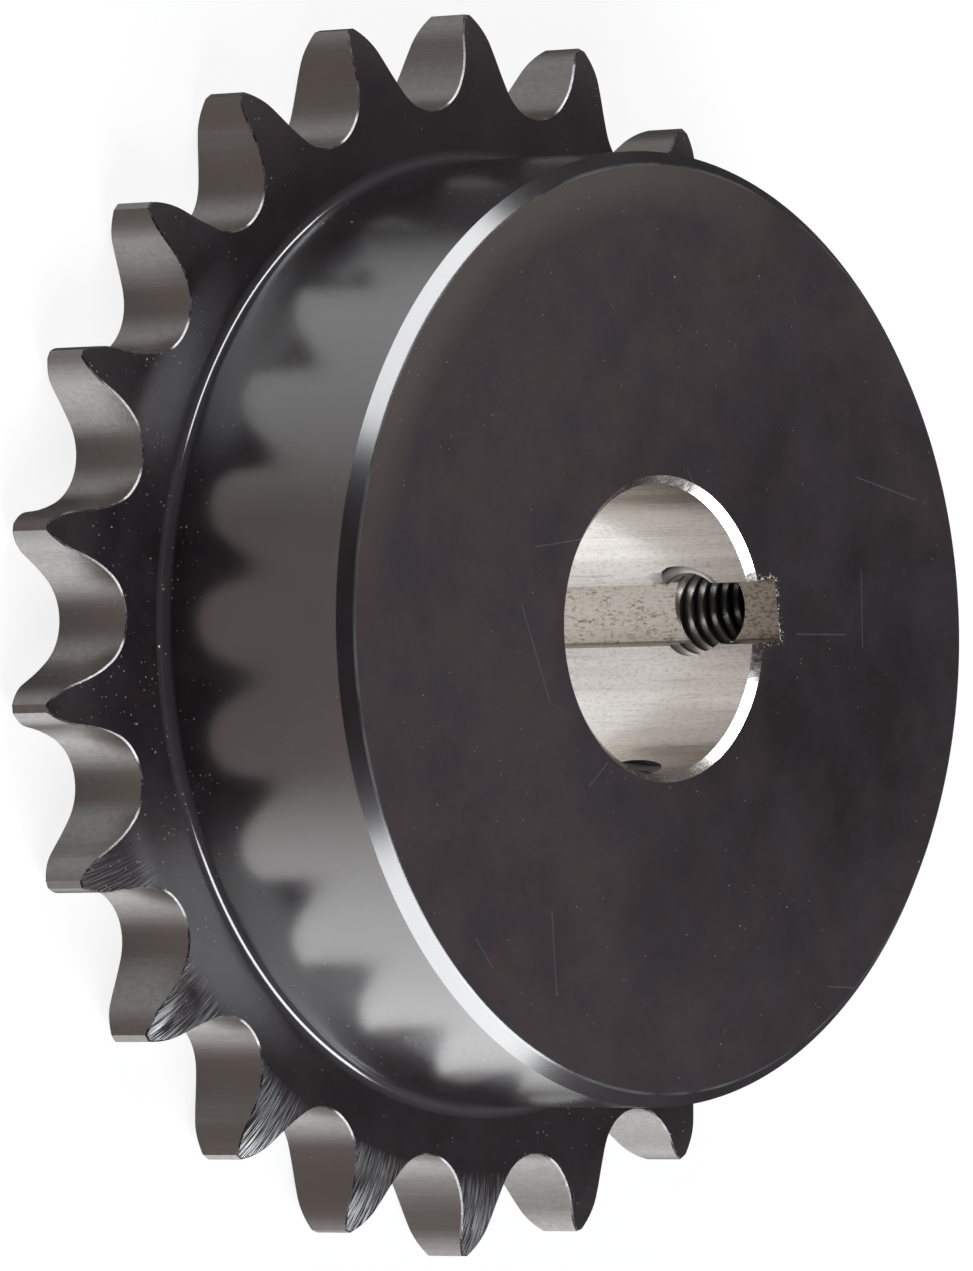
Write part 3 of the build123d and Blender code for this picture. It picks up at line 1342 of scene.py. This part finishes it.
    def _roughness(self, zones: Zones, mottle_and_sheen: Socket, along: Socket, worn: Socket) -> Socket:
        """Mixes the roughness.

        Args:
            zones: The surfaces.
            mottle_and_sheen: The oxide's cloudy differences, with the painted sheen on the hub face and the
                plate.
            along: The marks along the axis.
            worn: The share of worn steel.

        Returns:
            The roughness over the whole piece.
        """
        grain = self.grain.raw(zones.tree, zones.place) - 0.5
        rough = self.oxide_roughness + mottle_and_sheen * self.oxide_mottle_roughness
        rough = rough + grain * self.oxide_grain_roughness
        bare = self.bare_roughness + zones.keyway * self.keyway_more_roughness
        for share, over in (
                (zones.wall, self.flank_roughness + grain * self.flank_grain_roughness),
                (zones.plate, self.plate_roughness), (zones.chamfer, self.chamfer_roughness),
                (zones.fillet, self.fillet_roughness), (zones.thread, self.thread_roughness),
                (zones.side_hole + zones.rounding * worn, self.worn_roughness),
                (zones.bare, bare + (along - 0.5) * self.bare_line_roughness)):
            rough = zones.tree.between(share, rough, over)
        return rough


@dataclass(frozen=True)
class Softbox:
    """A long soft lamp that faces the part, from one direction to another."""

    name: str
    first: Pair
    last: Pair
    width: float
    radiance: float
    distance: float = 0.9
    colour: Triple = (1.0, 1.0, 1.0)

    @staticmethod
    def direction(angles: Pair) -> Vector:
        """Unit vector for an azimuth from +X and an elevation, in degrees."""
        azimuth, elevation = (radians(a) for a in angles)
        return Vector((cos(azimuth) * cos(elevation), sin(azimuth) * cos(elevation), sin(elevation)))

    def build(self) -> None:
        """Adds the lamp."""
        ends = [self.direction(a) for a in (self.first, self.last)]
        middle = (ends[0] + ends[1]).normalized()
        along = (ends[1] - ends[0]).normalized()
        side = middle.cross(along).normalized()
        turn = Matrix((along, side, middle)).transposed().to_4x4()
        length = 2 * self.distance * tan(ends[0].angle(ends[1]) / 2)
        lamp = bpy.data.lights.new(self.name, "AREA")
        lamp.shape = "RECTANGLE"
        lamp.size = length
        lamp.size_y = self.width
        lamp.energy = self.radiance * pi * length * self.width
        lamp.color = self.colour
        light = bpy.data.objects.new(self.name, lamp)
        light.matrix_world = Matrix.Translation(middle * self.distance) @ turn
        bpy.context.scene.collection.objects.link(light)


@dataclass(frozen=True)
class Glow:
    """A soft patch of light around the part, seen in its polished surfaces."""

    direction: Pair
    outer: float
    inner: float
    level: float
    colour: Triple = (1.0, 1.0, 1.0)

    def light(self, tree: Tree, away: Socket) -> Socket:
        """The patch's light in a direction.

        Args:
            tree: The world's tree.
            away: The direction.

        Returns:
            A colour that falls from the patch's own to black at its outer edge.
        """
        centre = tuple(Softbox.direction(self.direction))
        near = tree.vector("DOT_PRODUCT", away, centre, output="Value")
        share = near.ramp(cos(radians(self.outer)), cos(radians(self.inner))) * self.level
        return tree.vector("MULTIPLY", tree.combine(share, share, share), self.colour)


@dataclass(frozen=True)
class Studio:
    """Floor, soft lights and camera."""

    floor_half: float = 3.0
    floor_gap: float = 0.02 * MM
    floor_colour: Colour = (0.8, 0.8, 0.8, 1.0)
    background_level: float = 1.06
    background_share: float = 0.8
    world_level: float = 0.18
    world_colour: Triple = (1.0, 0.93, 0.94)
    camera_side: Pair = (178, 38)
    camera_side_reach: Pair = (0.60, 0.85)
    camera_side_level: float = 0.25
    far_side: Pair = (-6, 41)
    far_side_reach: Pair = (0.75, 0.97)
    far_side_level: float = 0.69
    low_level: float = 0.08
    bore_light_radius: float = 12 * MM
    bore_glow_share: float = 0.12
    glows: tuple[Glow, ...] = (
        Glow((-95, -41), 43, 14, 3.6),
        Glow((101, -41), 31, 9, 1.65),
        Glow((180, -50), 44, 20, 0.80, (1.0, 0.85, 0.80)),
    )
    softboxes: tuple[Softbox, ...] = (
        Softbox("softbox_left", (125, 42), (71, 20), 0.20, 12.5, colour=(0.96, 0.98, 1.0)),
        Softbox("softbox_right", (-135, 44), (-74, 23), 0.33, 12.5, colour=(0.96, 0.98, 1.0)),
    )
    camera_place: Triple = (-0.824195, 0.080098, 0.728182)
    camera_back: Triple = (-0.749134, 0.072919, 0.658393)
    camera_up: Triple = (0.115301, 0.993104, 0.021203)
    focal_pixels: float = 14262.7
    picture_height: int = 1271
    sensor: float = 36.0
    clip: Pair = (0.05, 20.0)

    def build(self, floor_z: float) -> None:
        """Makes the floor, the world, the lights and the camera.

        Args:
            floor_z: Height of the surface on which the sprocket lies.
        """
        bpy.context.scene.view_settings.view_transform = "Standard"
        self._floor(floor_z - self.floor_gap)
        self._world()
        for softbox in self.softboxes:
            softbox.build()
        self._camera()

    def _floor(self, floor_z: float) -> None:
        """Makes the plain pale floor, white to the camera, that keeps the shadow.

        Args:
            floor_z: The floor's height.
        """
        half = self.floor_half
        mesh = bpy.data.meshes.new("floor")
        corners = [(x * half, y * half, floor_z) for x, y in ((-1, -1), (1, -1), (1, 1), (-1, 1))]
        mesh.from_pydata(corners, [], [(0, 1, 2, 3)])
        floor = bpy.data.objects.new("floor", mesh)
        bpy.context.scene.collection.objects.link(floor)
        material = bpy.data.materials.new("pale_floor")
        material.use_nodes = True
        material.node_tree.nodes.clear()
        tree = Tree(material.node_tree)
        camera, glossy = self._rays(tree)
        diffuse = tree.node("ShaderNodeBsdfDiffuse", None, {"Color": self.floor_colour})
        glow = tree.node("ShaderNodeEmission", None, {"Color": WHITE, "Strength": self.background_level})
        clear = tree.node("ShaderNodeBsdfTransparent")
        share = (camera + glossy).clamped() * self.background_share
        seen = tree.node("ShaderNodeMixShader", None, {0: share, 1: diffuse, 2: glow})
        place = tree.node("ShaderNodeTexCoord", None, None, "Object")
        outside = tree.vector("LENGTH", place, output="Value") > self.bore_light_radius
        open_share = glossy * (1.0 - camera) * tree.between(outside, self.bore_glow_share, 1.0)
        mixed = tree.node("ShaderNodeMixShader", None, {0: open_share, 1: seen, 2: clear})
        tree.node("ShaderNodeOutputMaterial", None, {"Surface": mixed})
        mesh.materials.append(material)

    @staticmethod
    def _rays(tree: Tree) -> tuple[Socket, Socket]:
        """Tells the kinds of ray apart.

        Args:
            tree: The material's tree.

        Returns:
            1 for a ray from the camera, and 1 for one that metal or glass sends on.
        """
        camera = tree.node("ShaderNodeLightPath", None, None, "Is Camera Ray")
        outputs = camera.socket.node.outputs
        glossy = Socket(tree, outputs["Is Glossy Ray"]) + Socket(tree, outputs["Is Transmission Ray"])
        return camera, glossy.clamped()

    def _world(self) -> None:
        """Soft light from all sides, with the patches that polished surfaces show below."""
        world = bpy.data.worlds.new("studio")
        world.use_nodes = True
        world.node_tree.nodes.clear()
        tree = Tree(world.node_tree)
        away = tree.node("ShaderNodeTexCoord", None, None, "Generated")
        _, _, up = tree.split(away)
        level = self.world_level
        for side, reach, change in ((self.camera_side, self.camera_side_reach, self.camera_side_level),
                                    (self.far_side, self.far_side_reach, self.far_side_level)):
            near = tree.vector("DOT_PRODUCT", away, tuple(Softbox.direction(side)), output="Value")
            level = level * tree.between(near.ramp(*reach), 1.0, change)
        above = tree.vector("MULTIPLY", tree.combine(level, level, level), self.world_colour)
        below = tree.combine(self.low_level, self.low_level, self.low_level)
        for glow in self.glows:
            below = tree.vector("ADD", below, glow.light(tree, away))
        light = tree.node("ShaderNodeMix", {"data_type": "VECTOR"}, {0: up > 0.0, 4: below, 5: above}, 1)
        sky = tree.node("ShaderNodeBackground", None, {"Color": light, "Strength": 1.0})
        tree.node("ShaderNodeOutputWorld", None, {"Surface": sky})
        bpy.context.scene.world = world

    def _camera(self) -> None:
        """Camera at the photograph's angle: from the left of the hub, on its side."""
        back = Vector(self.camera_back).normalized()
        right = Vector(self.camera_up).cross(back).normalized()
        up = back.cross(right).normalized()
        data = bpy.data.cameras.new("camera")
        data.sensor_width = self.sensor
        data.lens = self.focal_pixels * self.sensor / self.picture_height
        data.clip_start, data.clip_end = self.clip
        camera = bpy.data.objects.new("camera", data)
        turn = Matrix((right, up, back)).transposed().to_4x4()
        camera.matrix_world = Matrix.Translation(Vector(self.camera_place)) @ turn
        bpy.context.scene.collection.objects.link(camera)
        bpy.context.scene.camera = camera


def main() -> None:
    """Builds the sprocket and its studio."""
    logging.basicConfig(level=logging.INFO, format="%(name)s: %(message)s")
    sizes = SprocketSizes()
    piece = Sprocket(sizes).build(SteelFinish(sizes).material())
    LOG.info("%s: %d faces", piece.name, len(piece.data.polygons))
    Studio().build(sizes.back_z)


if __name__ == "__main__":
    main()
